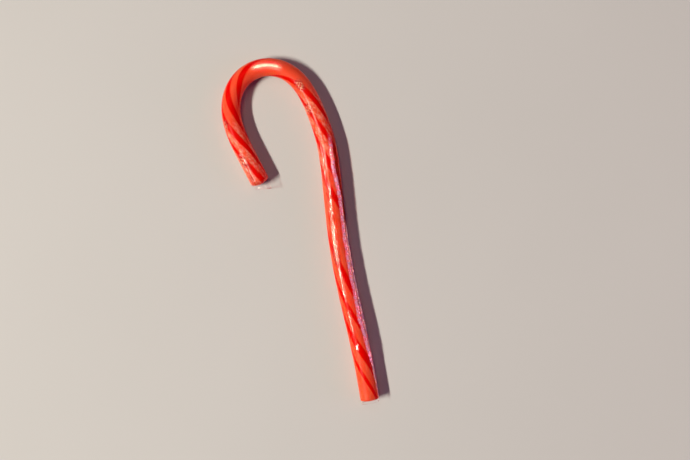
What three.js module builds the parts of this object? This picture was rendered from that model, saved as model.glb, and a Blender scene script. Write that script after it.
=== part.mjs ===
// Wrapped candy cane: a rod of pulled sugar with twisted stripes, bent into a crook and closed in
// a tight sleeve of clear film. It lies on its side, the shaft along +Y, the crook opening towards
// -X, with a narrow flat at Z = 0 where it rests. Everything is in millimetres.
import * as THREE from "three";

// ---- Driving dimensions ----------------------------------------------------------------------

const CANDY_RADIUS = 4.0;
const FILM_STAND_OFF = 0.13; // the film, and the air caught under it
const ROD_LENGTH = 218.6; // the candy, along its centreline
const REST_DEPTH = 0.1; // how much of the underside the flat takes away

// The centreline is walked from the foot of the shaft, heading +Y. Each soft bend turns it to the
// left by `turn` degrees, spread over `reach` about `middle`, both measured along the rod.
const BENDS = [
  { middle: 20, reach: 48, turn: 4 }, // the foot sweeps in a little
  { middle: 63, reach: 68, turn: -7.9 }, // the shaft bows back
  { middle: 113.8, reach: 44, turn: 17.1 }, // shoulder
  { middle: 155, reach: 68, turn: 124.5 }, // crown
  { middle: 181.7, reach: 52, turn: 60 }, // the tip turns inwards
];

// Where the warm rod was drawn thinner or left fuller, as a share of its radius.
const SWELLS = [
  { middle: 60, reach: 110, share: 0.02 }, // shaft
  { middle: 148, reach: 36, share: -0.06 }, // stretched over the crown
  { middle: 200, reach: 36, share: 0.015 }, // tip
];

// Four proud stripes wind up the rod, with a wider plain gap after the last. Angles round the rod
// are in degrees, 0 on the outer side of the crook and 90 on top. Each stripe is given by where it
// first crosses the top.
const STRIPES = [
  { topAt: 9.2, halfWidth: 10.5 },
  { topAt: 22.4, halfWidth: 13.7 },
  { topAt: 38.1, halfWidth: 11.4 },
  { topAt: 56, halfWidth: 14.5 },
];
const STRIPE_RISE = 0.08;

// A turn takes `pitch` at the foot. `tightening` more turns are made over the first 100 mm, and an
// uneven pull of the hand adds and takes `pull` turns about once a turn.
const TWIST = { pitch: 83, tightening: 0.025, pull: 0.03, pullEvery: 80, pullFrom: 12 };
const ROLLED_FLAT = 0.1; // rolling pressed the rod a little flat, which draws the stripes out

// The film's seam is a low folded ridge along the shaft that climbs towards the top at the shoulder.
const SEAM = { angle: 45, halfWidth: 15, rise: 0.3, from: 14, to: 122, fade: 14 };
const SEAM_CLIMB = { turn: 25, from: 84, to: 102 };

// At both ends the sleeve follows the candy's rounded edge inwards, by `drawnIn` over the length
// `round`, and runs on as a pleated collar round a shallow recess. `slant` makes the collar longer
// on the inner side of the crook and shorter on the outer side, by that share.
const FOOT_END = { round: 0.9, drawnIn: 0.3, collar: 0.9, slant: 0 };
const TIP_END = { round: 1.9, drawnIn: 0.9, collar: 2.5, slant: 0.5 };
const COLLAR_WALL = 0.45;
const PLEATS = 7;
const PLEAT_DEPTH = 0.16;
const ROUND_STEPS = 4; // rings over each rounded edge

const SIDES = 36;
const STATIONS = 112; // rings along the candy
const WALK_STEP = 0.1;
const RELIEF_FADE = 3; // stripes and seam die away over this length at each end

const CORAL = new THREE.Color(0xff6a4d);
const STRIPE_RED = new THREE.Color(0xc8140a);

const SLEEVE_RADIUS = CANDY_RADIUS + FILM_STAND_OFF;
const { degToRad, radToDeg, smoothstep, clamp } = THREE.MathUtils;

// ---- Centreline ------------------------------------------------------------------------------

/** How much of a bend has been turned after the share `u` of its reach: 0 to 1, with soft ends. */
function turned(u) {
  const share = clamp(u, 0, 1);
  return share - Math.sin(2 * Math.PI * share) / (2 * Math.PI);
}

/** Heading at a distance along the rod, in radians to the left of +Y. */
function headingAt(along) {
  const degrees = BENDS.map((bend) => bend.turn * turned((along - bend.middle) / bend.reach + 0.5));
  return degToRad(degrees.reduce((sum, turn) => sum + turn));
}

/** Unit vector of a heading, in the plane the cane lies in. */
function direction(heading) {
  return new THREE.Vector2(-Math.sin(heading), Math.cos(heading));
}

/** Points of the centreline, WALK_STEP apart, from the foot of the candy to its tip. */
function walkCentreline() {
  const walk = [new THREE.Vector2()];
  for (let along = WALK_STEP / 2; along < ROD_LENGTH; along += WALK_STEP) {
    walk.push(direction(headingAt(along)).multiplyScalar(WALK_STEP).add(walk.at(-1)));
  }
  return walk;
}

/** Centreline point at a distance along the rod. Past the candy's ends it runs straight on. */
function centreAt(along, walk) {
  const index = clamp(Math.round(along / WALK_STEP), 0, walk.length - 1);
  return direction(headingAt(along)).multiplyScalar(along - index * WALK_STEP).add(walk[index]);
}

// ---- Relief on the rod -----------------------------------------------------------------------

/** Angle between two directions round the rod, in degrees, 0 to 180. */
function angleBetween(a, b) {
  const gap = THREE.MathUtils.euclideanModulo(a - b, 360);
  return Math.min(gap, 360 - gap);
}

/** A smooth bump, 1 at distance 0 and nothing from `reach` on. */
function bump(distance, reach) {
  return 1 - smoothstep(Math.abs(distance), 0, reach);
}

/** How many turns the twist has made at a distance along the rod. */
function turnsAt(along) {
  const steady = along / TWIST.pitch + TWIST.tightening * (along / 100) ** 2;
  const phase = (2 * Math.PI * (along - TWIST.pullFrom)) / TWIST.pullEvery;
  return steady + TWIST.pull * Math.sin(phase);
}

/** How strongly a point lies on one of the twisted stripes: 1 on its middle, 0 off it. */
function stripeAt(along, angle) {
  const drawn = angle + radToDeg(ROLLED_FLAT * Math.sin(2 * degToRad(angle)));
  const weights = STRIPES.map((stripe) => {
    const middle = 90 + 360 * (turnsAt(along) - turnsAt(stripe.topAt));
    return bump(angleBetween(drawn, middle), 2 * stripe.halfWidth);
  });
  return Math.max(...weights);
}

/** How strongly a point lies on the film's seam. */
function seamAt(along, angle) {
  const begins = smoothstep(along, SEAM.from, SEAM.from + SEAM.fade);
  const fades = 1 - smoothstep(along, SEAM.to - SEAM.fade, SEAM.to);
  const middle = SEAM.angle + SEAM_CLIMB.turn * smoothstep(along, SEAM_CLIMB.from, SEAM_CLIMB.to);
  return begins * fades * bump(angleBetween(angle, middle), SEAM.halfWidth);
}

/** Radius of the straight rod's surface once swells, stripes, seam and pleats are on it. */
function reliefRadius(radius, along, angle) {
  const swell = SWELLS.reduce((sum, s) => sum + s.share * bump(along - s.middle, s.reach), 0);
  const inland = smoothstep(Math.min(along, ROD_LENGTH - along), 0, RELIEF_FADE);
  const raised = STRIPE_RISE * stripeAt(along, angle) + SEAM.rise * seamAt(along, angle);
  const pastEnd = Math.max(-along / FOOT_END.collar, (along - ROD_LENGTH) / TIP_END.collar, 0);
  const pleat = PLEAT_DEPTH * pastEnd * Math.cos(degToRad(PLEATS * angle));
  return radius * (1 + swell) + inland * raised + pleat;
}

// ---- The wrapped rod -------------------------------------------------------------------------

/** One end's half-section from the axis outwards, `outward` being -1 at the foot and 1 at the tip. */
function endProfile(at, end, outward) {
  const rim = SLEEVE_RADIUS - end.drawnIn;
  const collar = [
    new THREE.Vector2(0, at),
    new THREE.Vector2(rim - COLLAR_WALL, at),
    new THREE.Vector2(rim - COLLAR_WALL, at + outward * end.collar),
    new THREE.Vector2(rim, at + outward * end.collar),
  ];
  const edge = Array.from({ length: ROUND_STEPS }, (_, i) => {
    const turn = (Math.PI / 2) * (1 - i / ROUND_STEPS);
    const back = end.round * (1 - Math.sin(turn));
    return new THREE.Vector2(rim + end.drawnIn * Math.cos(turn), at - outward * back);
  });
  return [...collar, ...edge];
}

/** Half-section of the straight rod, from axis to axis: x is the radius, y the place along it. */
function rodProfile() {
  const straight = ROD_LENGTH - FOOT_END.round - TIP_END.round;
  const side = Array.from(
    { length: STATIONS },
    (_, i) => new THREE.Vector2(SLEEVE_RADIUS, FOOT_END.round + (straight * i) / (STATIONS - 1)),
  );
  const foot = endProfile(0, FOOT_END, -1);
  const tip = endProfile(ROD_LENGTH, TIP_END, 1).reverse();
  return [...foot, ...side, ...tip];
}

/** Where a point of the straight rod lies along it once the collars are cut on the slant. */
function slanted(along, angle) {
  const outward = Math.cos(degToRad(angle));
  const pastTip = Math.max(along - ROD_LENGTH, 0) * TIP_END.slant;
  const pastFoot = Math.min(along, 0) * FOOT_END.slant;
  return along - (pastTip + pastFoot) * outward;
}

/** Puts the relief on a straight rod standing along Y, colours it, and bends it into the crook. */
function bendRod(rod) {
  const position = rod.getAttribute("position");
  const walk = walkCentreline();
  const colours = [];
  const vertex = new THREE.Vector3();
  for (let i = 0; i < position.count; i++) {
    vertex.fromBufferAttribute(position, i);
    const along = vertex.y;
    const angle = radToDeg(Math.atan2(vertex.z, vertex.x));
    const radius = reliefRadius(Math.hypot(vertex.x, vertex.z), along, angle);
    const outer = direction(headingAt(along)).rotateAround(new THREE.Vector2(), -Math.PI / 2);
    const centre = centreAt(slanted(along, angle), walk);
    const place = outer.multiplyScalar(radius * Math.cos(degToRad(angle))).add(centre);
    const height = Math.max(radius * Math.sin(degToRad(angle)), REST_DEPTH - SLEEVE_RADIUS);
    position.setXYZ(i, place.x, place.y, height);
    colours.push(...CORAL.clone().lerp(STRIPE_RED, stripeAt(along, angle)).toArray());
  }
  rod.setAttribute("color", new THREE.Float32BufferAttribute(colours, 3));
  rod.computeVertexNormals();
}

/** Moves a geometry so that its box stands on Z = 0 with its middle over the origin. */
function standOnOrigin(geometry) {
  geometry.computeBoundingBox();
  const middle = geometry.boundingBox.getCenter(new THREE.Vector3());
  geometry.translate(-middle.x, -middle.y, -geometry.boundingBox.min.z);
}

function makeCandyCane() {
  const rod = new THREE.LatheGeometry(rodProfile(), SIDES);
  bendRod(rod);
  standOnOrigin(rod);
  const sugar = new THREE.MeshStandardMaterial({ vertexColors: true, roughness: 0.2, metalness: 0 });
  const mesh = new THREE.Mesh(rod, sugar);
  mesh.name = "candy_cane";
  return mesh;
}

const candyCane = new THREE.Group();
candyCane.add(makeCandyCane());

export default candyCane;
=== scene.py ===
"""Candy cane in a clear film sleeve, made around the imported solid.

The sugar rod and the film are both swept along the crook's centreline by Geometry Nodes. Lengths
below are in millimetres and angles in degrees, unless a comment says otherwise. Places along the
rod start from the foot of the candy. Angles round it start from the crook's outer side, and 90 is
on top.
"""

import math

import bpy
from bpy.props import FloatProperty, FloatVectorProperty, IntProperty, PointerProperty
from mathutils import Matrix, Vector


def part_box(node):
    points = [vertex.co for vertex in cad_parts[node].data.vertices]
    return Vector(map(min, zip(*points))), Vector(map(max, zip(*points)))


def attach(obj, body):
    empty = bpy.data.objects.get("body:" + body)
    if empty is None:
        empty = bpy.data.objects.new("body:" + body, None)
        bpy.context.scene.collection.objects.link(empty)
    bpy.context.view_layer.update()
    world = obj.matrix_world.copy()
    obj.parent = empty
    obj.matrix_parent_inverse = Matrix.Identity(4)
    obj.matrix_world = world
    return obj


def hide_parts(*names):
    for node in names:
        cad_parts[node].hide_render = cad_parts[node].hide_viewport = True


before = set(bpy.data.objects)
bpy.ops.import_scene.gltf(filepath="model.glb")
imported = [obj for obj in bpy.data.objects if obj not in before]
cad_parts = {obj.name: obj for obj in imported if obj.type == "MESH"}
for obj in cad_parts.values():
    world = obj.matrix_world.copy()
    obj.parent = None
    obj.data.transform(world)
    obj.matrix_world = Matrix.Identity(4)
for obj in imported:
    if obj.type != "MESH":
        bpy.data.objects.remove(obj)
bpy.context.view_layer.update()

bl_info = {
    "name": "Wrapped Candy Cane",
    "version": (1, 0, 0),
    "blender": (4, 5, 0),
    "location": "3D View > Sidebar > Candy Cane",
    "description": "Makes a striped candy cane in a tight sleeve of clear film",
    "category": "Add Mesh",
}

MM = 0.001
NODE = "candy_cane"

# ---- The rod's own sizes, as the solid has them ------------------------------------------------

ROD_LENGTH = 218.6
SLEEVE_RADIUS = 4.13
REST_DEPTH = 0.1  # the flat on the underside takes this much off the sleeve
FOOT_COLLAR = 0.9
TIP_COLLAR = 2.5
FOOT_ROUND = 0.9  # the candy rounds off over this length
TIP_ROUND = 1.9
FOOT_DRAWN_IN = 0.3  # how far the sleeve follows that rounding inwards
TIP_DRAWN_IN = 0.9
TIP_SLANT = 0.5  # the tip's collar is longer by this share on the crook's inner side, shorter outside
WALK_STEP = 0.1

# Soft bends of the centreline, walked from the foot: (middle, reach, turn to the left).
BENDS = (
    (20, 48, 4),
    (63, 68, -7.9),
    (113.8, 44, 17.1),
    (155, 68, 124.5),
    (181.7, 52, 60),
)

# Where the warm rod was drawn thinner or left fuller: (middle, reach, share of the radius).
SWELLS = (
    (60, 110, 0.02),
    (148, 36, -0.06),
    (200, 36, 0.015),
)

# The twist: so long for a turn at the foot, so many turns gained over the first 100 mm, and an
# uneven pull of the hand that comes back about once a turn: (turns, length, where it starts).
TWIST_PITCH = 83.0
TWIST_TIGHTENING = 0.025
TWIST_PULL = (0.03, 80.0, 12.0)

# Rolling pressed the rod a little flat, so the stripes are drawn out at its sides, by this much.
ROLLED_FLAT = 0.1  # radians
LUMP_HEIGHT = 0.04  # of the unevenness that hand rolling left
RELIEF_FADE = 2.0  # lumps and stripes rise to their full height over this length at each end

# The stripes: (where one first crosses the top, its half width at the foot and at the tip).
STRIPES = (
    (9.2, 10, 18),
    (22.4, 19, 16),
    (38.1, 10, 15),
    (56.0, 16, 14),
)

# Where the sugar was worked cold and its surface is mottled: (from, to, share).
MOTTLED = ((96, 140, 1.0), (186, 222, 1.0))
MOTTLE_FADE = 10
SMEAR = 0.08  # radians by which the fibres smear a stripe's edge to each side

# Grains of the patterns, which follow the twist: (width across the rod, how many times as long they
# are, levels of finer detail, how rough).
FIBRE_GRAIN = (1.3, 14, 5.0, 0.6)
MOTTLE_GRAIN = (1.3, 1.4, 6.0, 0.75)
DYE_GRAIN = (1.7, 3, 3.0, 0.5)
LUMP_GRAIN = (4.6, 3, 2.0, 0.5)

# ---- The film ----------------------------------------------------------------------------------

FILM_THICKNESS = 0.03
FILM_START = 0.05 - FOOT_COLLAR  # a hair inside the solid's rim
FILM_END = ROD_LENGTH + TIP_COLLAR
PLEATS = 7
PLEAT_DEPTH = 0.15
SLACK = 0.1  # how far the film wavers between its creases

# Grains of the film's patterns, given as the sugar's are.
CRINKLE_GRAIN = (1.7, 3, 2.0, 0.55)
SPECKLE_GRAIN = (0.92, 1.2, 2.0, 0.5)
DRIFT_GRAIN = (3.8, 1.2, 1.0, 0.5)  # where the speckles are thick and where thin
CREASE_GRAIN = (3.8, 5, 2.0, 0.5)  # fine creases run where it crosses its middle
CREASE_SHARPNESS = 0.05  # how far off its middle it still raises one
CREASED_GRAIN = (6.9, 5, 1.0, 0.5)  # the patches with creases
SHAKE_GRAIN = (1.9, 0.5, 2.0, 0.5)  # what shakes the folds of the puckers
CRIMP_GRAIN = (1.2, 1, 1.0, 0.5)  # along the seam's edge

# Patches where the film is stretched clear of the sugar and shines: (from, to, angle, half width in
# degrees, share of light it mirrors). Elsewhere it clings.
TAUT = (
    (22.4, 25.4, 104, 14, 0.120),
    (28, 41, 110, 26, 0.024),
    (43, 61, 113, 30, 0.032),
    (59, 81, 113, 38, 0.044),
    (79, 97, 121, 34, 0.080),
    (94, 114, 131, 30, 0.055),
    (111, 137, 112, 26, 0.006),
    (149.5, 164.5, 86, 40, 0.480),
    (203, 221, 56, 30, 0.030),
)
TAUT_FADE = 0.25  # of a patch's length, at each end

# How crumpled the film is along the rod, drum tight being 0: (from, to, share).
CRUMPLED = ((-10, 99, 1.0), (91, 150, 0.35), (196, 230, 0.6))
CRUMPLE_FADE = 8
DRUM_TIGHT = (144, 170)  # over the crown, without even a fine crease

# Long creases that run along the rod: (from, to, angle, half width in degrees, height, how dark the
# painted shade in the furrow at each side is).
LONG_CREASES = (
    (26, 58, 113, 9, 0.08, 0.08),
    (54, 102, 106, 9, 0.07, 0.10),
    (60, 86, 122, 8, 0.08, 0.10),
    (92, 116, 132, 9, 0.15, 0.08),
    (203, 220, 66, 6, 0.08, 0.25),
    (205, 220, 50, 7, 0.12, 0.25),
)
CREASE_FADE = 5  # over which a crease dies away at its ends
CREASE_TURNS = 240.0  # in a metre, so that a long crease turns about every 4 mm
FURROW_REACH = 7  # degrees to each side of a crease's foot
WANDER = 24  # degrees over which a crease, or the seam, wanders

# The folded seam lies at this angle and swings to the side at some places: (middle, reach, degrees).
SEAM_ANGLE = 45
SEAM_SWINGS = ((4, 24, -30), (38, 12, 10), (104, 20, 28))
SEAM_FADE = 12
SEAM_TURNS = 160.0  # in a metre, so that the seam turns about every 6 mm
SEAM_CRIMP = 0.3  # how much the height of its crimped edge varies

# Strips of the seam beside its middle: (from, to and fade in degrees, start and end along the rod).
SEAM_PARTS = (
    (-26, 8, 9, 10, 118),  # the flap, where it swells out
    (-12, 13, 6, -6, 118),  # where it lies double
    (-56, -22, 14, 26, 96),  # the loose lip at the rod's side
    (-46, -10, 8, 70, 120),  # the shade under the flap
    (-60, -12, 10, 6, 80),  # the hazy film that it draws off the sugar
)

# Puckers of the film, where it bunches: (along, angle, reach along, reach in degrees, spacing,
# height, slant, strength of their painted highlight and painted shade). The slant is how far each
# of the folds runs along the rod for each degree round it. The folds zigzag round the rod and are
# shaken, both by shares of their spacing.
PUCKERS = (
    (139.5, 103, 3.6, 34, 1.5, 0.10, 0.030, 1.9),
    (128.5, 129, 3.4, 28, 1.5, 0.09, 0.030, 1.4),
    (64, 117, 6, 28, 1.9, 0.09, -0.030, 1.2),
    (190, 47, 3, 22, 1.6, 0.05, 0.040, 1.0),
    (206.5, 56, 4.5, 24, 1.8, 0.07, 0.060, 1.6),
)
ZIGZAGS = 22  # to a turn
ZIGZAG_SHARE = 0.3
SHAKE_SHARE = 1.6

# Distances from ring to ring of the meshes.
ROD_STEP = 0.42
END_RINGS = 8  # over each rounded end of the candy
PUCKER_STEP = 0.25
SHAFT_STEP = 0.5
CROOK_STEP = 0.8  # from SHAFT_TOP on
SHAFT_TOP = 120
MERGE_WITHIN = 0.001  # points closer than this are one, as at the pole of the rod's foot

# Shares of the light that the film mirrors, scatters and keeps back, and of its painted highlight
# and painted shade.
EDGE_POWER = 5.0  # how steeply these rise towards the edge that the eye sees
EDGE_MIRROR = 0.3
EDGE_SHADE = 0.3
DOUBLE_MIRROR = 0.42  # where the film lies double
CREST_HIGHLIGHT_MILK = 0.32  # a painted highlight: milky haze on the crests of the puckers
DRAWN_OFF_MILK = 1.2  # where the seam draws it off the sugar
GATHERED_MILK = 0.05  # at the rims of the collars
FLAP_SHADE = 0.22  # under the seam's flap
HEM_SHADE = 0.14  # along the rims of the collars

# ---- Stage -------------------------------------------------------------------------------------

TABLE_HALF = 6.0  # metres, so that it fills a low view up to the horizon
TABLE_GAP = 0.01

# The lamps: (name, azimuth, elevation, distance in metres, sides in metres, colour).
LAMPS = (
    ("long_lamp", 15, 48, 2.35, (0.72, 0.1), "#FFF5E6"),
    ("ceiling_lamp", -67, 67, 1.6, (0.12, 0.9), "#FFDCC0"),
    ("far_window", 176, 18, 1.5, (0.7, 0.5), "#EC8CC4"),
)
ROOM_COLOUR = "#B696FC"
ROOM_GLOW = (0.12, 0.04)  # at the horizon and overhead

LENS = 50.0
SENSOR_WIDTH = 36.0
PICTURE_WIDTH = 296.7  # how much of the table the picture spans, at the height of the rod
PICTURE_MIDDLE = (20.7, -1.8)
SHAFT_LEAN = 9.5  # the shaft leans this far to the left in the picture


def linear(hex_colour):
    """An sRGB hex colour as the linear red, green and blue that Blender works in."""
    parts = [int(hex_colour[i : i + 2], 16) / 255 for i in (1, 3, 5)]
    return [p / 12.92 if p <= 0.04045 else ((p + 0.055) / 1.055) ** 2.4 for p in parts]


def opaque(colour):
    """A colour with the alpha of 1 that colour sockets ask for."""
    return (*colour, 1.0)


# ---- Settings ----------------------------------------------------------------------------------


class RodSettings(bpy.types.PropertyGroup):
    """Sizes and colours of the sugar rod."""

    radius: FloatProperty(
        name="Radius", description="Radius of the sugar rod",
        default=4.02 * MM, unit="LENGTH",
    )
    stripe_rise: FloatProperty(
        name="Stripe rise", description="How proud the stripes stand",
        default=0.02 * MM, unit="LENGTH",
    )
    foot_round: FloatProperty(
        name="Foot rounding", description="Length over which the foot rounds off",
        default=FOOT_ROUND * MM, unit="LENGTH",
    )
    tip_round: FloatProperty(
        name="Tip rounding", description="Length over which the tip rounds off",
        default=TIP_ROUND * MM, unit="LENGTH",
    )
    sides: IntProperty(name="Sides", description="Points round the rod", default=96, min=12)
    coral: FloatVectorProperty(
        name="Coral", description="The rod's own colour",
        size=3, subtype="COLOR", default=linear("#F04626"),
    )
    coral_pale: FloatVectorProperty(
        name="Pale coral", description="Its paler fibres",
        size=3, subtype="COLOR", default=linear("#F66C4A"),
    )
    bloom: FloatVectorProperty(
        name="Bloom", description="Its mottling where it was worked cold",
        size=3, subtype="COLOR", default=linear("#FFA088"),
    )
    stripe_red: FloatVectorProperty(
        name="Stripe red", description="Colour of the stripes",
        size=3, subtype="COLOR", default=linear("#EA0802"),
    )
    stripe_deep: FloatVectorProperty(
        name="Deep red", description="Where a stripe's dye is thick",
        size=3, subtype="COLOR", default=linear("#D00200"),
    )


class FilmSettings(bpy.types.PropertyGroup):
    """Sizes of the clear film sleeve."""

    radius: FloatProperty(
        name="Radius", description="Outer radius of the sleeve",
        default=4.085 * MM, unit="LENGTH",
    )
    thickness: FloatProperty(
        name="Thickness", description="Thickness of the film",
        default=FILM_THICKNESS * MM, unit="LENGTH",
    )
    crease_rise: FloatProperty(
        name="Crease rise", description="Height of the fine creases",
        default=0.05 * MM, unit="LENGTH",
    )
    seam_rise: FloatProperty(
        name="Seam rise", description="How proud the folded seam stands",
        default=0.3 * MM, unit="LENGTH",
    )
    sides: IntProperty(name="Sides", description="Points round the sleeve", default=104, min=12)


class StageSettings(bpy.types.PropertyGroup):
    """Colour of the table top and power of the lamps."""

    table: FloatVectorProperty(
        name="Table", description="Colour of the table top",
        size=3, subtype="COLOR", default=linear("#C6CAC8"),
    )
    long_lamp: FloatProperty(
        name="Long lamp", description="Power of the lamp that lights the cane", default=66, unit="POWER"
    )
    ceiling_lamp: FloatProperty(
        name="Ceiling lamp", description="Power of the faint lamp overhead", default=2.8, unit="POWER"
    )
    far_window: FloatProperty(
        name="Far window", description="Power of the pink light on the far side", default=3.2, unit="POWER"
    )


# ---- Nodes -------------------------------------------------------------------------------------


def node(tree, kind, inputs=None, **settings):
    """Adds a node with its settings. An input given a node or a socket is linked, any other is set."""
    made = tree.nodes.new(kind)
    for name, value in settings.items():
        setattr(made, name, value)
    for key, value in (inputs or {}).items():
        by_name = (s for s in made.inputs if s.enabled and s.name == key)
        socket = made.inputs[key] if isinstance(key, int) else next(by_name)
        if isinstance(value, bpy.types.Node):
            value = next(s for s in value.outputs if s.enabled)
        if isinstance(value, bpy.types.NodeSocket):
            tree.links.new(value, socket)
        else:
            socket.default_value = value
    return made


def bump_weight(tree, place, middle, reach, height):
    """`height` at `middle`, falling softly to 0 at `reach` from it."""
    gap = node(tree, "ShaderNodeMath", {0: place, 1: middle}, operation="SUBTRACT")
    size = node(tree, "ShaderNodeMath", {0: gap}, operation="ABSOLUTE")
    return node(
        tree, "ShaderNodeMapRange",
        {"Value": size, "From Min": 0.0, "From Max": reach, "To Min": height, "To Max": 0.0},
        interpolation_type="SMOOTHSTEP",
    )


def between(tree, place, first, last, fade):
    """1 between `first` and `last`, fading to 0 over `fade` inside each of them."""
    begins = node(
        tree, "ShaderNodeMapRange", {"Value": place, "From Min": first, "From Max": first + fade},
        interpolation_type="SMOOTHSTEP",
    )
    ends = node(
        tree, "ShaderNodeMapRange", {"Value": place, "From Min": last, "From Max": last - fade},
        interpolation_type="SMOOTHSTEP",
    )
    return node(tree, "ShaderNodeMath", {0: begins, 1: ends}, operation="MULTIPLY")


def spans(tree, place, ranges, fade):
    """The value of the range that a place is in, fading to 0 over `fade` inside its ends."""
    total = 0.0
    for first, last, value in ranges:
        one = between(tree, place, first * MM, last * MM, fade * MM)
        total = node(tree, "ShaderNodeMath", {0: one, 1: value, 2: total}, operation="MULTIPLY_ADD")
    return total


def angle_gap(tree, around, middle):
    """How far an angle is from another, from 0 to half a turn, in radians."""
    gap = node(tree, "ShaderNodeMath", {0: around, 1: middle}, operation="SUBTRACT")
    wrapped = node(tree, "ShaderNodeMath", {0: gap, 1: math.pi, 2: -math.pi}, operation="WRAP")
    return node(tree, "ShaderNodeMath", {0: wrapped}, operation="ABSOLUTE")


def turns_at(along):
    """How many turns the twist has made at a place along the rod."""
    pull, length, start = TWIST_PULL
    steady = along / TWIST_PITCH + TWIST_TIGHTENING * (along / 100) ** 2
    return steady + pull * math.sin(math.tau * (along - start) / length)


def twist_at(tree, along):
    """The same as turns_at in nodes, as an angle, for a place in metres."""
    pull, length, start = TWIST_PULL
    gain = {0: along, 1: TWIST_TIGHTENING / (100 * MM) ** 2, 2: 1 / (TWIST_PITCH * MM)}
    rate = node(tree, "ShaderNodeMath", gain, operation="MULTIPLY_ADD")
    steady = node(tree, "ShaderNodeMath", {0: rate, 1: along}, operation="MULTIPLY")
    sway = {0: along, 1: math.tau / (length * MM), 2: -math.tau * start / length}
    phase = node(tree, "ShaderNodeMath", sway, operation="MULTIPLY_ADD")
    wave = node(tree, "ShaderNodeMath", {0: phase}, operation="SINE")
    turns = node(tree, "ShaderNodeMath", {0: wave, 1: pull, 2: steady}, operation="MULTIPLY_ADD")
    return node(tree, "ShaderNodeMath", {0: turns, 1: math.tau}, operation="MULTIPLY")


def stripe_weight(tree, around, along, softness):
    """1 on the stripes and 0 off them. `softness` is how much of their half width the edge takes."""
    twist = twist_at(tree, along)
    double = node(tree, "ShaderNodeMath", {0: around, 1: 2.0}, operation="MULTIPLY")
    flat = node(tree, "ShaderNodeMath", {0: double}, operation="SINE")
    drawn = node(tree, "ShaderNodeMath", {0: flat, 1: ROLLED_FLAT, 2: around}, operation="MULTIPLY_ADD")
    weight = 0.0
    for top_at, foot_width, tip_width in STRIPES:
        start = math.pi / 2 - math.tau * turns_at(top_at)
        middle = node(tree, "ShaderNodeMath", {0: twist, 1: start}, operation="ADD")
        growth = math.radians(tip_width - foot_width) / (ROD_LENGTH * MM)
        grown = {0: along, 1: growth, 2: math.radians(foot_width)}
        width = node(tree, "ShaderNodeMath", grown, operation="MULTIPLY_ADD")
        gap = angle_gap(tree, drawn, middle)
        share = node(tree, "ShaderNodeMath", {0: gap, 1: width}, operation="DIVIDE")
        edge = {"From Min": 1 - softness, "From Max": 1 + softness, "To Min": 1.0, "To Max": 0.0}
        one = node(tree, "ShaderNodeMapRange", {"Value": share, **edge}, interpolation_type="SMOOTHSTEP")
        weight = node(tree, "ShaderNodeMath", {0: weight, 1: one}, operation="MAXIMUM")
    return weight


def twisted_place(tree, around, along, stretch):
    """A vector for noise that runs with the twist. `stretch` is how much longer its grain is.

    Its unit across is the sleeve's radius.
    """
    angle = node(tree, "ShaderNodeMath", {0: around, 1: twist_at(tree, along)}, operation="SUBTRACT")
    across = node(tree, "ShaderNodeMath", {0: angle}, operation="COSINE")
    up = node(tree, "ShaderNodeMath", {0: angle}, operation="SINE")
    share = 1 / (SLEEVE_RADIUS * MM * stretch)
    run = node(tree, "ShaderNodeMath", {0: along, 1: share}, operation="MULTIPLY")
    return node(tree, "ShaderNodeCombineXYZ", {"X": across, "Y": up, "Z": run})


def grain(tree, around, along, sizes):
    """A noise between 0 and 1 that runs with the twist, with one of the grains named above."""
    width, stretch, detail, roughness = sizes
    place = twisted_place(tree, around, along, stretch)
    scale = round(SLEEVE_RADIUS / width, 1)
    look = {"Vector": place, "Scale": scale, "Detail": detail, "Roughness": roughness}
    return node(tree, "ShaderNodeTexNoise", look).outputs["Fac"]


# ---- Materials ---------------------------------------------------------------------------------


def new_material(name):
    """An empty node material and its output node."""
    material = bpy.data.materials.new(name)
    material.use_nodes = True
    material.node_tree.nodes.clear()
    return material, material.node_tree, node(material.node_tree, "ShaderNodeOutputMaterial")


def read_round(tree):
    """Angle round the rod and place along it, from the attribute that the sweep leaves."""
    stored = node(tree, "ShaderNodeAttribute", attribute_name="round")
    across, up, along = node(tree, "ShaderNodeSeparateXYZ", {0: stored.outputs["Vector"]}).outputs
    around = node(tree, "ShaderNodeMath", {0: up, 1: across}, operation="ARCTAN2")
    return around, along


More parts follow.
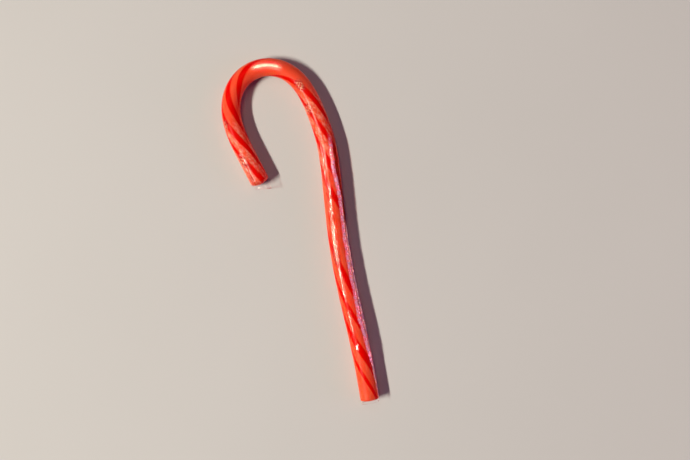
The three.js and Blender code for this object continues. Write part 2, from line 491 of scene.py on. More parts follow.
def pulled_sugar(rod):
    """Pulled sugar, rolled warm: a satin gloss, fibres that follow the twist, and light that goes in.

    The fibres are 1.3 mm wide and 14 times as long. Sugar worked cold has a mottling of 1.3 mm.
    """
    material, tree, output = new_material("pulled_sugar")
    around, along = read_round(tree)
    fibres = grain(tree, around, along, FIBRE_GRAIN)
    coral = node(
        tree, "ShaderNodeMix",
        {"Factor": fibres, "A": opaque(rod.coral), "B": opaque(rod.coral_pale)},
        data_type="RGBA",
    )
    mottle = grain(tree, around, along, MOTTLE_GRAIN)
    spots = node(tree, "ShaderNodeMapRange", {"Value": mottle, "From Min": 0.45, "From Max": 0.62})
    worked = spans(tree, along, MOTTLED, MOTTLE_FADE)
    bloom = node(tree, "ShaderNodeMath", {0: spots, 1: worked}, operation="MULTIPLY")
    sugar_colour = node(
        tree, "ShaderNodeMix", {"Factor": bloom, "A": coral, "B": opaque(rod.bloom)}, data_type="RGBA"
    )
    smear = {0: fibres, 1: 2 * SMEAR, 2: -SMEAR}
    shift = node(tree, "ShaderNodeMath", smear, operation="MULTIPLY_ADD")
    smeared = node(tree, "ShaderNodeMath", {0: around, 1: shift}, operation="ADD")
    stripe = stripe_weight(tree, smeared, along, softness=0.3)
    dye = grain(tree, around, along, DYE_GRAIN)
    reds = node(
        tree, "ShaderNodeMix",
        {"Factor": dye, "A": opaque(rod.stripe_red), "B": opaque(rod.stripe_deep)},
        data_type="RGBA",
    )
    colour = node(
        tree, "ShaderNodeMix", {"Factor": stripe, "A": sugar_colour, "B": reds}, data_type="RGBA"
    )
    satin = node(tree, "ShaderNodeMapRange", {"Value": dye, "To Min": 0.26, "To Max": 0.4})
    grooves = node(
        tree, "ShaderNodeBump", {"Strength": 0.5, "Distance": 0.03 * MM, "Height": fibres}
    )
    sugar = node(
        tree, "ShaderNodeBsdfPrincipled",
        {
            "Base Color": colour,
            "Roughness": satin,
            "IOR": 1.5,
            "Normal": grooves,
            "Subsurface Weight": 1.0,
            "Specular IOR Level": 0.03,
            "Subsurface Radius": (1.0, 0.03, 0.015),
            "Subsurface Scale": 10.0 * MM,
        },
    )
    tree.links.new(sugar.outputs[0], output.inputs["Surface"])
    return material


def taut_patches(tree, around, along):
    """The share of light that the film mirrors in the patches of TAUT, and 0 outside them."""
    total = 0.0
    for first, last, angle, spread, share in TAUT:
        fade = (last - first) * TAUT_FADE
        stretch = between(tree, along, first * MM, last * MM, fade * MM)
        gap = angle_gap(tree, around, math.radians(angle))
        beside = bump_weight(tree, gap, 0.0, math.radians(spread), share)
        total = node(tree, "ShaderNodeMath", {0: stretch, 1: beside, 2: total}, operation="MULTIPLY_ADD")
    return total


def clear_film():
    """Cast polypropylene film: clear, very glossy, and a little milky where it lies double.

    Its crinkles are 1.7 mm wide and its milky speckles 0.9 mm. Light to the eye crosses four of its
    surfaces, so its tint counts four times. Painted shade darkens that tint in the troughs of its
    puckers, beside its long creases, under the seam's flap and along the rims of its collars, and the
    crests of its puckers carry a painted highlight.
    """
    material, tree, output = new_material("clear_film")
    around, along = read_round(tree)
    crinkle = grain(tree, around, along, CRINKLE_GRAIN)
    crumpled = spans(tree, along, CRUMPLED, CRUMPLE_FADE)
    height = node(tree, "ShaderNodeMath", {0: crinkle, 1: crumpled}, operation="MULTIPLY")
    ripples = node(tree, "ShaderNodeBump", {"Strength": 1.0, "Distance": 0.5 * MM, "Height": height})
    facing = node(tree, "ShaderNodeLayerWeight", {"Blend": 0.5, "Normal": ripples}).outputs["Facing"]
    grazing = node(tree, "ShaderNodeMath", {0: facing, 1: EDGE_POWER}, operation="POWER")

    fold = node(tree, "ShaderNodeAttribute", attribute_name="fold").outputs["Fac"]
    crest = node(
        tree, "ShaderNodeMapRange", {"Value": fold, "From Max": 0.6, "To Min": 0.001, "To Max": 0.03}
    )
    double = node(tree, "ShaderNodeAttribute", attribute_name="double").outputs["Fac"]
    pressed = node(tree, "ShaderNodeMath", {0: double, 1: DOUBLE_MIRROR, 2: crest}, operation="MULTIPLY_ADD")
    taut = taut_patches(tree, around, along)
    straight = node(tree, "ShaderNodeMath", {0: pressed, 1: taut}, operation="ADD")
    mirror = node(
        tree, "ShaderNodeMath", {0: grazing, 1: EDGE_MIRROR, 2: straight}, operation="MULTIPLY_ADD"
    )
    # Painted shade in the pucker troughs, beside the long creases, under the seam's flap and along the
    # collar rims darkens the clear tint towards red brown; the grazing edge darkens it too.
    painted_trough_shade = node(tree, "ShaderNodeMapRange", {"Value": fold, "From Max": -0.35})
    edge = node(tree, "ShaderNodeMath", {0: grazing, 1: EDGE_SHADE}, operation="MULTIPLY")
    darkest = node(tree, "ShaderNodeMath", {0: painted_trough_shade, 1: edge}, operation="MAXIMUM")
    tint = node(
        tree, "ShaderNodeMix",
        {"Factor": darkest, "A": opaque(linear("#FEFDFD")), "B": opaque(linear("#CE9484"))},
        data_type="RGBA",
    )
    clear = node(tree, "ShaderNodeBsdfTransparent", {"Color": tint})
    warm = node(tree, "ShaderNodeVectorMath", {0: linear("#FFEEE2"), "Scale": mirror}, operation="SCALE")
    polish = node(tree, "ShaderNodeMapRange", {"Value": crumpled, "To Min": 0.3, "To Max": 0.14})
    shine = node(tree, "ShaderNodeBsdfGlossy", {"Color": warm, "Roughness": polish, "Normal": ripples})
    film = node(tree, "ShaderNodeAddShader", {0: clear, 1: shine})

    speckles = grain(tree, around, along, SPECKLE_GRAIN)
    patches = node(
        tree, "ShaderNodeMapRange",
        {"Value": speckles, "From Min": 0.4, "From Max": 0.6, "To Min": 0.22, "To Max": 0.95},
    )
    drift = grain(tree, around, along, DRIFT_GRAIN)
    drifts = node(
        tree, "ShaderNodeMapRange",
        {"Value": drift, "From Min": 0.35, "From Max": 0.6, "To Min": 0.35, "To Max": 1.1},
    )
    strength = node(tree, "ShaderNodeMath", {0: patches, 1: drifts}, operation="MULTIPLY")
    # Painted highlight: the crests of the puckers get a cream milky haze, whatever light falls on them.
    crests = node(tree, "ShaderNodeMapRange", {"Value": fold, "From Min": 0.1, "From Max": 0.6})
    painted_crest_highlight = node(tree, "ShaderNodeMath", {0: crests, 1: CREST_HIGHLIGHT_MILK}, operation="MULTIPLY")
    milk = node(
        tree, "ShaderNodeMath", {0: double, 1: strength, 2: painted_crest_highlight},
        operation="MULTIPLY_ADD", use_clamp=True,
    )
    haze_and_crest_highlight = node(
        tree, "ShaderNodeMix",
        {"Factor": crests, "A": opaque(linear("#F4ACCC")), "B": opaque(linear("#FFDCA0"))},
        data_type="RGBA",
    )
    haze = node(tree, "ShaderNodeBsdfDiffuse", {"Color": haze_and_crest_highlight})
    hazy = node(tree, "ShaderNodeMixShader", {0: milk, 1: film, 2: haze})
    tree.links.new(hazy.outputs[0], output.inputs["Surface"])
    return material


def table_top(colour):
    """Painted board: matt and nearly plain, with the faint unevenness of a roller every 110 mm."""
    material, tree, output = new_material("painted_board")
    place = node(tree, "ShaderNodeTexCoord").outputs["Object"]
    mottle = node(tree, "ShaderNodeTexNoise", {"Vector": place, "Scale": 9.0, "Detail": 3.0})
    shade = node(
        tree, "ShaderNodeMapRange", {"Value": mottle.outputs["Fac"], "To Min": 0.97, "To Max": 1.03}
    )
    painted = node(
        tree, "ShaderNodeMix", {"Factor": 1.0, "A": opaque(colour), "B": shade},
        data_type="RGBA", blend_type="MULTIPLY",
    )
    board = node(tree, "ShaderNodeBsdfPrincipled", {"Base Color": painted, "Roughness": 0.75})
    tree.links.new(board.outputs[0], output.inputs["Surface"])
    return material


# ---- Centreline --------------------------------------------------------------------------------


def heading_at(along):
    """Heading at a place along the rod, in radians to the left of +Y."""
    heading = 0.0
    for middle, reach, turn in BENDS:
        share = min(max((along - middle) / reach + 0.5, 0.0), 1.0)
        heading += math.radians(turn) * (share - math.sin(math.tau * share) / math.tau)
    return heading


def step_towards(heading, length):
    """A step of a length in a heading."""
    return Vector((-math.sin(heading), math.cos(heading))) * length


def walk_centreline():
    """Points of the centreline, WALK_STEP apart, from the foot of the candy to its tip."""
    walk = [Vector((0.0, 0.0))]
    for i in range(round(ROD_LENGTH / WALK_STEP)):
        walk.append(walk[-1] + step_towards(heading_at((i + 0.5) * WALK_STEP), WALK_STEP))
    return walk


def centre_at(along, walk):
    """Centreline point at a place along the rod. Past the candy's ends it runs straight on."""
    index = min(max(round(along / WALK_STEP), 0), len(walk) - 1)
    return walk[index] + step_towards(heading_at(along), along - index * WALK_STEP)


def swell_at(along):
    """The rod's swell at a place along it, as a share of its radius."""
    swell = 0.0
    for middle, reach, share in SWELLS:
        u = max(1 - abs(along - middle) / reach, 0.0)
        swell += share * u * u * (3 - 2 * u)
    return swell


def foot_of_candy(walk):
    """Where the foot of the candy is in the frame, from the solid's box."""
    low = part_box(NODE)[0] / MM
    left = min(p.x - SLEEVE_RADIUS * (1 + swell_at(i * WALK_STEP)) for i, p in enumerate(walk))
    return Vector((low.x - left, low.y + FOOT_COLLAR, low.z + SLEEVE_RADIUS - REST_DEPTH))


def make_path(name, stations):
    """A curve object through the centreline's points at the given places along the rod."""
    walk = walk_centreline()
    foot = foot_of_candy(walk)
    curve = bpy.data.curves.new(name, "CURVE")
    curve.dimensions = "3D"
    curve.twist_mode = "Z_UP"
    spline = curve.splines.new("POLY")
    spline.points.add(len(stations) - 1)
    for point, along in zip(spline.points, stations):
        place = (foot + centre_at(along, walk).to_3d()) * MM
        point.co = (*place, 1.0)
    path = bpy.data.objects.new(name, curve)
    bpy.context.scene.collection.objects.link(path)
    return path


def even_stations(first, last, spacing):
    """Places from first to last, evenly spaced by about the spacing."""
    count = round((last - first) / spacing)
    return [first + (last - first) * i / count for i in range(count + 1)]


# ---- Sweeping ----------------------------------------------------------------------------------


class Sweep:
    """A Geometry Nodes tree that sweeps a ring along a path, for a relief to be put on it.

    After the ring is swept, `around` is the angle round the rod (0 on the crook's outer side and a
    quarter turn on top) and `along` the place along it, in metres from the foot of the candy.
    """

    def __init__(self, name, sizes, counts):
        self.tree = bpy.data.node_groups.new(name, "GeometryNodeTree")
        self.sockets = {}
        self._declare("Path", "INPUT", "NodeSocketGeometry")
        for label, value in sizes.items():
            self._declare(label, "INPUT", "NodeSocketFloat").default_value = value
        for label, value in counts.items():
            self._declare(label, "INPUT", "NodeSocketInt").default_value = value
        self._declare("Material", "INPUT", "NodeSocketMaterial")
        self._declare("Piece", "OUTPUT", "NodeSocketGeometry")
        self.given = self.tree.nodes.new("NodeGroupInput").outputs

    def _declare(self, label, way, kind):
        """Gives the tree a named input or output."""
        socket = self.tree.interface.new_socket(label, in_out=way, socket_type=kind)
        self.sockets[label] = socket.identifier
        return socket

    def add(self, kind, inputs=None, **settings):
        """Adds a node to this tree."""
        return node(self.tree, kind, inputs, **settings)

    def follow_path(self):
        """Reads the path: its centre, its outer side, and the place along the rod."""
        tangent = self.add("GeometryNodeInputTangent")
        outer = self.add("ShaderNodeVectorMath", {0: tangent, 1: (0, 0, 1)}, operation="CROSS_PRODUCT")
        length = self.add("GeometryNodeSplineParameter").outputs["Length"]
        along = self.add("ShaderNodeMath", {0: length, 1: self.given["Start"]}, operation="ADD")
        capture = self.add("GeometryNodeCaptureAttribute", {"Geometry": self.given["Path"]})
        read = (
            ("VECTOR", "Centre", self.add("GeometryNodeInputPosition")),
            ("VECTOR", "Outer", outer),
            ("FLOAT", "Along", along),
        )
        for kind, label, source in read:
            capture.capture_items.new(kind, label)
            self.tree.links.new(source.outputs[0], capture.inputs[label])
        self.path = capture.outputs["Geometry"]
        self.centre = capture.outputs["Centre"]
        self.outer = capture.outputs["Outer"]
        self.along = capture.outputs["Along"]

    def swell(self):
        """1 and the rod's swells, as a scale for the ring."""
        scale = 1.0
        for middle, reach, share in SWELLS:
            one = bump_weight(self.tree, self.along, middle * MM, reach * MM, share)
            scale = self.add("ShaderNodeMath", {0: one, 1: scale}, operation="ADD")
        return scale

    def sweep_ring(self, scale):
        """Sweeps the ring along the path, scaled by a field on it, and reads the angle round it."""
        ring = self.add(
            "GeometryNodeCurvePrimitiveCircle",
            {"Resolution": self.given["Sides"], "Radius": self.given["Radius"]},
        )
        self.mesh = self.add(
            "GeometryNodeCurveToMesh",
            {"Curve": self.path, "Profile Curve": ring.outputs["Curve"], "Scale": scale, "Fill Caps": False},
        ).outputs["Mesh"]
        spot = self.add("GeometryNodeInputPosition")
        arm = self.add("ShaderNodeVectorMath", {0: spot, 1: self.centre}, operation="SUBTRACT")
        self.radial = self.add("ShaderNodeVectorMath", {0: arm}, operation="NORMALIZE")
        both = {0: self.radial, 1: self.outer}
        across = self.add("ShaderNodeVectorMath", both, operation="DOT_PRODUCT").outputs["Value"]
        up = self.add("ShaderNodeSeparateXYZ", {0: self.radial}).outputs["Z"]
        self.around = self.add("ShaderNodeMath", {0: up, 1: across}, operation="ARCTAN2")
        mark = self.add("ShaderNodeCombineXYZ", {"X": across, "Y": up, "Z": self.along})
        self.store("round", "FLOAT_VECTOR", mark)

    def store(self, name, kind, value):
        """Keeps a field on the mesh's points as a named attribute."""
        self.mesh = self.add(
            "GeometryNodeStoreNamedAttribute",
            {"Geometry": self.mesh, "Name": name, "Value": value},
            data_type=kind, domain="POINT",
        ).outputs["Geometry"]

    def move_by(self, direction, distance):
        """Moves the surface in a direction by a distance."""
        offset = self.add("ShaderNodeVectorMath", {0: direction, "Scale": distance}, operation="SCALE")
        moved = self.add("GeometryNodeSetPosition", {"Geometry": self.mesh, "Offset": offset})
        self.mesh = moved.outputs["Geometry"]

    def raise_by(self, relief):
        """Moves the surface outwards by a relief."""
        self.move_by(self.radial, relief)

    def push_along(self, distance):
        """Moves the surface towards the tip by a distance."""
        up = (0, 0, 1)
        towards_tip = self.add("ShaderNodeVectorMath", {0: up, 1: self.outer}, operation="CROSS_PRODUCT")
        self.move_by(towards_tip, distance)

    def rest_on(self, height):
        """Flattens what would reach below the height of the surface that the cane lies on."""
        spot = self.add("GeometryNodeInputPosition")
        x, y, z = self.add("ShaderNodeSeparateXYZ", {0: spot}).outputs
        painted_crest_highlight = self.add("ShaderNodeMath", {0: z, 1: height}, operation="MAXIMUM")
        resting = self.add("ShaderNodeCombineXYZ", {"X": x, "Y": y, "Z": painted_crest_highlight})
        placed = self.add("GeometryNodeSetPosition", {"Geometry": self.mesh, "Position": resting})
        self.mesh = placed.outputs["Geometry"]

    def finish(self):
        """Joins the points that meet, as at a pole, and ends the tree."""
        meeting = {"Geometry": self.mesh, "Distance": MERGE_WITHIN * MM}
        merged = self.add("GeometryNodeMergeByDistance", meeting)
        smooth = self.add("GeometryNodeSetShadeSmooth", {"Geometry": merged})
        real = self.add("GeometryNodeRealizeInstances", {"Geometry": smooth})
        done = self.add("GeometryNodeSetMaterial", {"Geometry": real, "Material": self.given["Material"]})
        self.tree.links.new(done.outputs[0], self.tree.nodes.new("NodeGroupOutput").inputs["Piece"])

    def run(self, name, path, values):
        """Runs the tree on a path with its inputs set, and gives the result as a plain mesh object."""
        modifier = path.modifiers.new("Sweep", "NODES")
        modifier.node_group = self.tree
        for label, value in values.items():
            modifier[self.sockets[label]] = value
        depsgraph = bpy.context.evaluated_depsgraph_get()
        mesh = bpy.data.meshes.new_from_object(path.evaluated_get(depsgraph), depsgraph=depsgraph)
        mesh.name = name
        bpy.data.objects.remove(path)
        piece = bpy.data.objects.new(name, mesh)
        bpy.context.scene.collection.objects.link(piece)
        return piece


# ---- Pieces ------------------------------------------------------------------------------------


def rod_stations(foot_round, tip_round):
    """Places along the rod: close together over the rounded ends, and even between them."""
    shares = [1 - math.cos(math.pi / 2 * i / END_RINGS) for i in range(END_RINGS)]
    middle = even_stations(foot_round, ROD_LENGTH - tip_round, ROD_STEP)
    return (
        [foot_round * share for share in shares]
        + middle
        + [ROD_LENGTH - tip_round * share for share in reversed(shares)]
    )


def to_tip(sweep):
    """How far it still is to the tip of the candy."""
    return sweep.add("ShaderNodeMath", {0: ROD_LENGTH * MM, 1: sweep.along}, operation="SUBTRACT")


def rounded(sweep, foot_round, tip_round):
    """The height of a quarter round over each end of the candy: 0 at the ends and 1 between them."""
    foot = sweep.add("ShaderNodeMath", {0: sweep.along, 1: foot_round}, operation="DIVIDE")
    tip = sweep.add("ShaderNodeMath", {0: to_tip(sweep), 1: tip_round}, operation="DIVIDE")
    share = sweep.add("ShaderNodeMath", {0: foot, 1: tip}, operation="MINIMUM", use_clamp=True)
    rest = sweep.add("ShaderNodeMath", {0: 1.0, 1: share}, operation="SUBTRACT")
    square = sweep.add("ShaderNodeMath", {0: rest, 1: rest}, operation="MULTIPLY")
    cut = sweep.add("ShaderNodeMath", {0: 1.0, 1: square}, operation="SUBTRACT", use_clamp=True)
    return sweep.add("ShaderNodeMath", {0: cut}, operation="SQRT")


def clear_of_poles(sweep):
    """0 at both ends of the rod and 1 a little way in, so that the relief leaves the poles alone."""
    nearest = sweep.add("ShaderNodeMath", {0: to_tip(sweep), 1: sweep.along}, operation="MINIMUM")
    return sweep.add(
        "ShaderNodeMapRange", {"Value": nearest, "From Max": RELIEF_FADE * MM},
        interpolation_type="SMOOTHSTEP",
    )


def rod_tree(rod):
    """The sugar rod: rounded ends, swells, proud stripes and the lumps of hand rolling.

    Its path has straight steps and is 0.001 mm shorter than the centreline, so the last ring, at
    the tip, isn't quite a point: it is 0.14 mm in radius and stays open.
    """
    sizes = {
        "Start": 0.0,
        "Radius": rod.radius,
        "Stripe rise": rod.stripe_rise,
        "Foot rounding": rod.foot_round,
        "Tip rounding": rod.tip_round,
    }
    sweep = Sweep("Sugar rod", sizes, {"Sides": rod.sides})
    sweep.follow_path()
    dome = rounded(sweep, sweep.given["Foot rounding"], sweep.given["Tip rounding"])
    sweep.sweep_ring(sweep.add("ShaderNodeMath", {0: dome, 1: sweep.swell()}, operation="MULTIPLY"))

    stripes = stripe_weight(sweep.tree, sweep.around, sweep.along, softness=0.6)
    lumps = grain(sweep.tree, sweep.around, sweep.along, LUMP_GRAIN)
    low = sweep.add("ShaderNodeMath", {0: lumps, 1: 0.5}, operation="SUBTRACT")
    uneven = sweep.add("ShaderNodeMath", {0: low, 1: LUMP_HEIGHT * MM}, operation="MULTIPLY")
    proud = {0: stripes, 1: sweep.given["Stripe rise"], 2: uneven}
    relief = sweep.add("ShaderNodeMath", proud, operation="MULTIPLY_ADD")
    sweep.raise_by(sweep.add("ShaderNodeMath", {0: relief, 1: clear_of_poles(sweep)}, operation="MULTIPLY"))
    sweep.rest_on(FILM_THICKNESS * MM)
    sweep.finish()
    return sweep


def past_tip(sweep):
    """How far it is past the tip of the candy, and 0 on the candy."""
    beyond = sweep.add("ShaderNodeMath", {0: to_tip(sweep), 1: -1.0}, operation="MULTIPLY")
    return sweep.add("ShaderNodeMath", {0: beyond, 1: 0.0}, operation="MAXIMUM")


def past_end(sweep):
    """0 along the candy, rising to 1 at the rim of the collar at either end."""
    foot, tip = (
        sweep.add("ShaderNodeMath", {0: place, 1: collar * MM}, operation="DIVIDE", use_clamp=True)
        for place, collar in ((sweep.along, -FOOT_COLLAR), (past_tip(sweep), TIP_COLLAR))
    )
    return sweep.add("ShaderNodeMath", {0: foot, 1: tip}, operation="MAXIMUM")


def wandering(sweep, noise, angle):
    """An angle that wanders with a noise: given in degrees, and read in radians."""
    shift = {0: noise.outputs["Fac"], 1: math.radians(WANDER), 2: math.radians(angle - WANDER / 2)}
    return sweep.add("ShaderNodeMath", shift, operation="MULTIPLY_ADD")


def long_creases(sweep):
    """The creases of LONG_CREASES, and the painted shade in the furrow beside each of their feet."""
    total = 0.0
    furrow_shade = 0.0
    for i, (first, last, angle, width, height, furrow) in enumerate(LONG_CREASES):
        place = sweep.add("ShaderNodeCombineXYZ", {"X": sweep.along, "Y": i * 0.1})
        turning = {"Vector": place, "Scale": CREASE_TURNS, "Detail": 2.0}
        wander = sweep.add("ShaderNodeTexNoise", turning)
        middle = wandering(sweep, wander, angle)
        gap = angle_gap(sweep.tree, sweep.around, middle)
        ridge = bump_weight(sweep.tree, gap, 0.0, math.radians(width), height * MM)
        span = between(sweep.tree, sweep.along, first * MM, last * MM, CREASE_FADE * MM)
        total = sweep.add("ShaderNodeMath", {0: ridge, 1: span, 2: total}, operation="MULTIPLY_ADD")
        foot = bump_weight(sweep.tree, gap, math.radians(width), math.radians(FURROW_REACH), furrow)
        # The painted shade of a furrow is broken where its crease wanders to one side.
        broken = {"Value": wander.outputs["Fac"], "From Min": 0.4, "From Max": 0.6}
        unbroken = sweep.add("ShaderNodeMapRange", broken)
        shown = sweep.add("ShaderNodeMath", {0: span, 1: unbroken}, operation="MULTIPLY")
        furrow_shade = sweep.add("ShaderNodeMath", {0: foot, 1: shown, 2: furrow_shade}, operation="MULTIPLY_ADD")
    return total, furrow_shade


def creases(sweep):
    """Fine raised creases that wander along the sleeve, and the slack between them.

    They are the lines where a noise crosses its middle, shown in patches.
    """
    wander = grain(sweep.tree, sweep.around, sweep.along, CREASE_GRAIN)
    off = sweep.add("ShaderNodeMath", {0: wander, 1: 0.5}, operation="SUBTRACT")
    ridge = bump_weight(sweep.tree, off, 0.0, CREASE_SHARPNESS, 1.0)
    patch = grain(sweep.tree, sweep.around, sweep.along, CREASED_GRAIN)
    shown = sweep.add("ShaderNodeMapRange", {"Value": patch, "From Min": 0.42, "From Max": 0.6})
    patchy = sweep.add("ShaderNodeMath", {0: ridge, 1: shown}, operation="MULTIPLY")
    high = sweep.add("ShaderNodeMath", {0: patchy, 1: sweep.given["Crease rise"]}, operation="MULTIPLY")
    slack = sweep.add("ShaderNodeMath", {0: off, 1: SLACK * MM, 2: high}, operation="MULTIPLY_ADD")
    first, last = DRUM_TIGHT
    tight = between(sweep.tree, sweep.along, first * MM, last * MM, CREASE_FADE * MM)
    loose = sweep.add("ShaderNodeMapRange", {"Value": tight, "To Min": 1.0, "To Max": 0.0})
    return sweep.add("ShaderNodeMath", {0: slack, 1: loose}, operation="MULTIPLY")


def puckers(sweep):
    """The bunched folds of film at the places in PUCKERS: their relief, and how strongly they show.

    That is a painted highlight above 0 on their crests and painted shade below it in their troughs.
    """
    relief = 0.0
    fold = 0.0
    shake = grain(sweep.tree, sweep.around, sweep.along, SHAKE_GRAIN)
    zigs = sweep.add("ShaderNodeMath", {0: sweep.around, 1: ZIGZAGS}, operation="MULTIPLY")
    zigzag = sweep.add("ShaderNodeMath", {0: zigs}, operation="SINE")
    for along, angle, reach, spread, spacing, height, slant, painted_strength in PUCKERS:
        near = bump_weight(sweep.tree, sweep.along, along * MM, reach * MM, 1.0)
        gap = angle_gap(sweep.tree, sweep.around, math.radians(angle))
        beside = bump_weight(sweep.tree, gap, 0.0, math.radians(spread), 1.0)
        lean = math.degrees(1) * slant * MM
        leaning = {0: sweep.around, 1: lean, 2: sweep.along}
        slanted = sweep.add("ShaderNodeMath", leaning, operation="MULTIPLY_ADD")
        bending = {0: zigzag, 1: ZIGZAG_SHARE * spacing * MM, 2: slanted}
        bent = sweep.add("ShaderNodeMath", bending, operation="MULTIPLY_ADD")
        shaking = {0: shake, 1: SHAKE_SHARE * spacing * MM, 2: bent}
        place = sweep.add("ShaderNodeMath", shaking, operation="MULTIPLY_ADD")
        phase = sweep.add("ShaderNodeMath", {0: place, 1: math.tau / (spacing * MM)}, operation="MULTIPLY")
        wave = sweep.add("ShaderNodeMath", {0: phase}, operation="COSINE")
        there = sweep.add("ShaderNodeMath", {0: near, 1: beside}, operation="MULTIPLY")
        one = sweep.add("ShaderNodeMath", {0: wave, 1: there}, operation="MULTIPLY")
        # The painted highlight on the crests and the painted shade in the troughs.
        fold = sweep.add("ShaderNodeMath", {0: one, 1: painted_strength, 2: fold}, operation="MULTIPLY_ADD")
        relief = sweep.add("ShaderNodeMath", {0: one, 1: height * MM, 2: relief}, operation="MULTIPLY_ADD")
    return relief, fold


def seam(sweep):
    """How strongly each of the strips in SEAM_PARTS is there."""
    place = sweep.add("ShaderNodeCombineXYZ", {"X": sweep.along})
    turning = {"Vector": place, "Scale": SEAM_TURNS, "Detail": 3.0}
    wander = sweep.add("ShaderNodeTexNoise", turning)
    middle = wandering(sweep, wander, SEAM_ANGLE)
    for along, reach, turn in SEAM_SWINGS:
        swing = bump_weight(sweep.tree, sweep.along, along * MM, reach * MM, math.radians(turn))
        middle = sweep.add("ShaderNodeMath", {0: middle, 1: swing}, operation="ADD")
    past = sweep.add("ShaderNodeMath", {0: sweep.around, 1: middle}, operation="SUBTRACT")
    parts = []
    for low, high, fade, start, end in SEAM_PARTS:
        strip = between(sweep.tree, past, math.radians(low), math.radians(high), math.radians(fade))
        span = between(sweep.tree, sweep.along, start * MM, end * MM, SEAM_FADE * MM)
        parts.append(sweep.add("ShaderNodeMath", {0: strip, 1: span}, operation="MULTIPLY"))
    return parts


def film_stations():
    """Places along the sleeve: short steps over the puckers, and longer ones between them."""
    stations = [FILM_START]
    while stations[-1] < FILM_END:
        here = stations[-1]
        step = SHAFT_STEP if here < SHAFT_TOP else CROOK_STEP
        if any(abs(here - along) < reach for along, _, reach, *_ in PUCKERS):
            step = PUCKER_STEP
        stations.append(min(here + step, FILM_END))
    return stations


def film_tree(film):
    """The sleeve: slack and creases, puckers, the folded seam, and a pleated collar past each end."""
    sizes = {
        "Start": FILM_START * MM,
        "Radius": film.radius,
        "Crease rise": film.crease_rise,
        "Seam rise": film.seam_rise,
    }
    sweep = Sweep("Film sleeve", sizes, {"Sides": film.sides})
    sweep.follow_path()
    sweep.sweep_ring(sweep.swell())

    flap, double, lip, shade, drawn_off = seam(sweep)
    crimp = grain(sweep.tree, sweep.around, sweep.along, CRIMP_GRAIN)
    uneven = sweep.add("ShaderNodeMath", {0: crimp, 1: 0.5}, operation="SUBTRACT")
    wavy = {0: uneven, 1: SEAM_CRIMP * MM, 2: sweep.given["Seam rise"]}
    ripple = sweep.add("ShaderNodeMath", wavy, operation="MULTIPLY_ADD")
    bunches, fold = puckers(sweep)
    standing = sweep.add("ShaderNodeMath", {0: flap, 1: lip}, operation="MAXIMUM")
    folds = sweep.add("ShaderNodeMath", {0: standing, 1: ripple, 2: bunches}, operation="MULTIPLY_ADD")
    long_ridges, furrow_shade = long_creases(sweep)
    creased = sweep.add("ShaderNodeMath", {0: creases(sweep), 1: long_ridges}, operation="ADD")
    skin = sweep.add("ShaderNodeMath", {0: creased, 1: folds}, operation="ADD")

    dome = rounded(sweep, FOOT_ROUND * MM, TIP_ROUND * MM)
    inwards = sweep.add("ShaderNodeMath", {0: 1.0, 1: dome}, operation="SUBTRACT")
    half_way = ROD_LENGTH / 2 * MM
    at_tip = sweep.add("ShaderNodeMath", {0: to_tip(sweep), 1: half_way}, operation="LESS_THAN")
    depth = sweep.add(
        "ShaderNodeMapRange",
        {"Value": at_tip, "To Min": -FOOT_DRAWN_IN * MM, "To Max": -TIP_DRAWN_IN * MM},
    )
    drawn = sweep.add("ShaderNodeMath", {0: inwards, 1: depth, 2: skin}, operation="MULTIPLY_ADD")
    end = past_end(sweep)
    pleat_turn = sweep.add("ShaderNodeMath", {0: sweep.around, 1: PLEATS}, operation="MULTIPLY")
    pleat = sweep.add("ShaderNodeMath", {0: pleat_turn}, operation="COSINE")
    pleats = sweep.add("ShaderNodeMath", {0: pleat, 1: PLEAT_DEPTH * MM}, operation="MULTIPLY")
    sweep.raise_by(sweep.add("ShaderNodeMath", {0: end, 1: pleats, 2: drawn}, operation="MULTIPLY_ADD"))
    outward = sweep.add("ShaderNodeMath", {0: sweep.around}, operation="COSINE")
    shorter = sweep.add("ShaderNodeMath", {0: past_tip(sweep), 1: -TIP_SLANT}, operation="MULTIPLY")
    sweep.push_along(sweep.add("ShaderNodeMath", {0: shorter, 1: outward}, operation="MULTIPLY"))
    sweep.rest_on(0.0)

    # The material reads where the film is milky, and its fold shading: a painted highlight on the
    # crests of the puckers, and painted shade in their troughs, beside the long creases, under the
    # seam's flap and along the collar rims.
    gathered = sweep.add("ShaderNodeMath", {0: end, 1: GATHERED_MILK}, operation="MULTIPLY")
    hanging = {0: drawn_off, 1: DRAWN_OFF_MILK, 2: gathered}
    loose = sweep.add("ShaderNodeMath", hanging, operation="MULTIPLY_ADD")
    sweep.store("double", "FLOAT", sweep.add("ShaderNodeMath", {0: double, 1: loose}, operation="MAXIMUM"))
    # Painted shade along the rims of the collars on the crook's inner side, under the seam's flap and beside
    # the long creases, all taken off the fold shading.
    inner = sweep.add("ShaderNodeMapRange", {"Value": outward, "From Min": -0.2, "From Max": -0.6})
    hem = sweep.add("ShaderNodeMapRange", {"Value": end, "From Min": 0.85, "To Max": HEM_SHADE})
    rim = sweep.add("ShaderNodeMath", {0: hem, 1: inner}, operation="MULTIPLY")
    shaded = sweep.add("ShaderNodeMath", {0: shade, 1: FLAP_SHADE}, operation="MULTIPLY")
    hemmed = sweep.add("ShaderNodeMath", {0: shaded, 1: rim}, operation="MAXIMUM")
    dark = sweep.add("ShaderNodeMath", {0: hemmed, 1: furrow_shade}, operation="MAXIMUM")
    sweep.store("fold", "FLOAT", sweep.add("ShaderNodeMath", {0: fold, 1: dark}, operation="SUBTRACT"))
    sweep.finish()
    return sweep


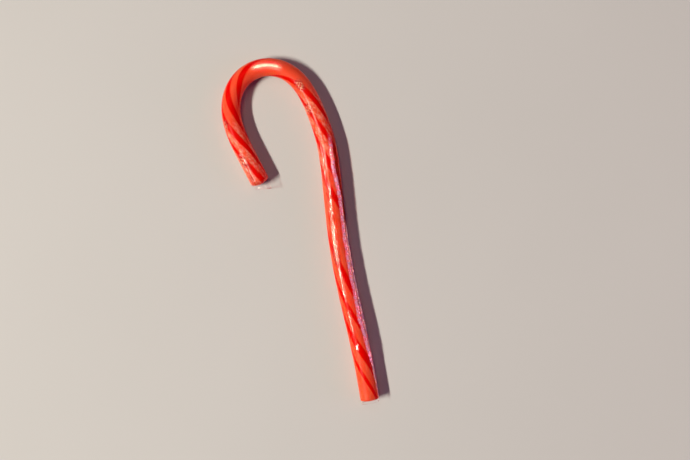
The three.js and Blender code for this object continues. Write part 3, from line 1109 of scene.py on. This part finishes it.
class CANDYCANE_OT_rod(bpy.types.Operator):
    """Make the sugar rod"""

    bl_idname = "candycane.rod"
    bl_label = "Sugar Rod"

    def execute(self, context):
        rod = context.scene.candycane_rod
        path = make_path("rod_path", rod_stations(rod.foot_round / MM, rod.tip_round / MM))
        piece = rod_tree(rod).run("sugar_rod", path, {"Material": pulled_sugar(rod)})
        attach(piece, "root")
        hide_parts(NODE)
        return {"FINISHED"}


class CANDYCANE_OT_film(bpy.types.Operator):
    """Make the clear film sleeve"""

    bl_idname = "candycane.film"
    bl_label = "Film Sleeve"

    def execute(self, context):
        film = context.scene.candycane_film
        path = make_path("film_path", film_stations())
        piece = film_tree(film).run("film_sleeve", path, {"Material": clear_film()})
        wall = piece.modifiers.new("Wall", "SOLIDIFY")
        wall.thickness = film.thickness
        wall.offset = -1.0  # inwards
        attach(piece, "root")
        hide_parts(NODE)
        return {"FINISHED"}


def add_light(name, azimuth, elevation, distance, size, power, colour):
    """An area light aimed at the middle of the picture.

    Azimuth is from the picture's left, turning towards its lower edge. The first side lies level.
    """
    turn = math.radians(180 + azimuth - SHAFT_LEAN)
    rise = math.radians(elevation)
    towards = Vector((math.cos(turn) * math.cos(rise), math.sin(turn) * math.cos(rise), math.sin(rise)))
    data = bpy.data.lights.new(name, "AREA")
    data.shape = "RECTANGLE"
    data.size, data.size_y = size
    data.energy = power
    data.color = colour
    light = bpy.data.objects.new(name, data)
    light.location = Vector((*PICTURE_MIDDLE, 0)) * MM + towards * distance
    light.rotation_euler = towards.to_track_quat("Z", "Y").to_euler()
    bpy.context.scene.collection.objects.link(light)


def make_table(colour):
    """The table top, just under the cane."""
    half = TABLE_HALF
    corners = [(-half, -half, 0), (half, -half, 0), (half, half, 0), (-half, half, 0)]
    mesh = bpy.data.meshes.new("table")
    mesh.from_pydata(corners, [], [(0, 1, 2, 3)])
    mesh.materials.append(table_top(colour))
    table = bpy.data.objects.new("table", mesh)
    table.location.z = -TABLE_GAP * MM
    bpy.context.scene.collection.objects.link(table)


def dim_room():
    """The room round the table, which glows faintly and more so at the horizon."""
    world = bpy.data.worlds.new("room")
    world.use_nodes = True
    tree = world.node_tree
    tree.nodes.clear()
    way = node(tree, "ShaderNodeTexCoord")
    height = node(tree, "ShaderNodeSeparateXYZ", {0: way.outputs["Generated"]}).outputs["Z"]
    low, high = ROOM_GLOW
    glow = node(tree, "ShaderNodeMapRange", {"Value": height, "To Min": low, "To Max": high})
    tone = opaque(linear(ROOM_COLOUR))
    room = node(tree, "ShaderNodeBackground", {"Color": tone, "Strength": glow})
    node(tree, "ShaderNodeOutputWorld", {"Surface": room})
    bpy.context.scene.world = world


def make_camera():
    """A camera straight above the cane, turned so that the shaft leans to the left."""
    data = bpy.data.cameras.new("camera")
    data.lens = LENS
    data.sensor_width = SENSOR_WIDTH
    camera = bpy.data.objects.new("camera", data)
    distance = PICTURE_WIDTH * LENS / SENSOR_WIDTH + SLEEVE_RADIUS
    camera.location = Vector((*PICTURE_MIDDLE, distance)) * MM
    camera.rotation_euler = (0, 0, math.radians(-SHAFT_LEAN))
    bpy.context.scene.collection.objects.link(camera)
    bpy.context.scene.camera = camera


class CANDYCANE_OT_stage(bpy.types.Operator):
    """Make the table top, the lights and the camera"""

    bl_idname = "candycane.stage"
    bl_label = "Table and Lights"

    def execute(self, context):
        stage = context.scene.candycane_stage
        make_table(stage.table)
        for name, azimuth, elevation, distance, size, colour in LAMPS:
            add_light(name, azimuth, elevation, distance, size, getattr(stage, name), linear(colour))
        dim_room()
        make_camera()
        context.scene.view_settings.view_transform = "Standard"
        return {"FINISHED"}


class CANDYCANE_PT_panel(bpy.types.Panel):
    """Lists the pieces and their settings"""

    bl_idname = "CANDYCANE_PT_panel"
    bl_label = "Candy Cane"
    bl_space_type = "VIEW_3D"
    bl_region_type = "UI"
    bl_category = "Candy Cane"

    def draw(self, context):
        scene = context.scene
        for settings, operator in (
            (scene.candycane_rod, CANDYCANE_OT_rod),
            (scene.candycane_film, CANDYCANE_OT_film),
            (scene.candycane_stage, CANDYCANE_OT_stage),
        ):
            box = self.layout.box()
            for name in settings.__annotations__:
                box.prop(settings, name)
            box.operator(operator.bl_idname)


SETTINGS = {
    "candycane_rod": RodSettings,
    "candycane_film": FilmSettings,
    "candycane_stage": StageSettings,
}
CLASSES = (*SETTINGS.values(), CANDYCANE_OT_rod, CANDYCANE_OT_film, CANDYCANE_OT_stage, CANDYCANE_PT_panel)


def register():
    for cls in CLASSES:
        bpy.utils.register_class(cls)
    for name, cls in SETTINGS.items():
        setattr(bpy.types.Scene, name, PointerProperty(type=cls))


def unregister():
    for name in SETTINGS:
        delattr(bpy.types.Scene, name)
    for cls in reversed(CLASSES):
        bpy.utils.unregister_class(cls)


def main():
    """Makes the pieces and the stage."""
    register()
    bpy.ops.candycane.rod()
    bpy.ops.candycane.film()
    bpy.ops.candycane.stage()


if __name__ == "__main__":
    main()
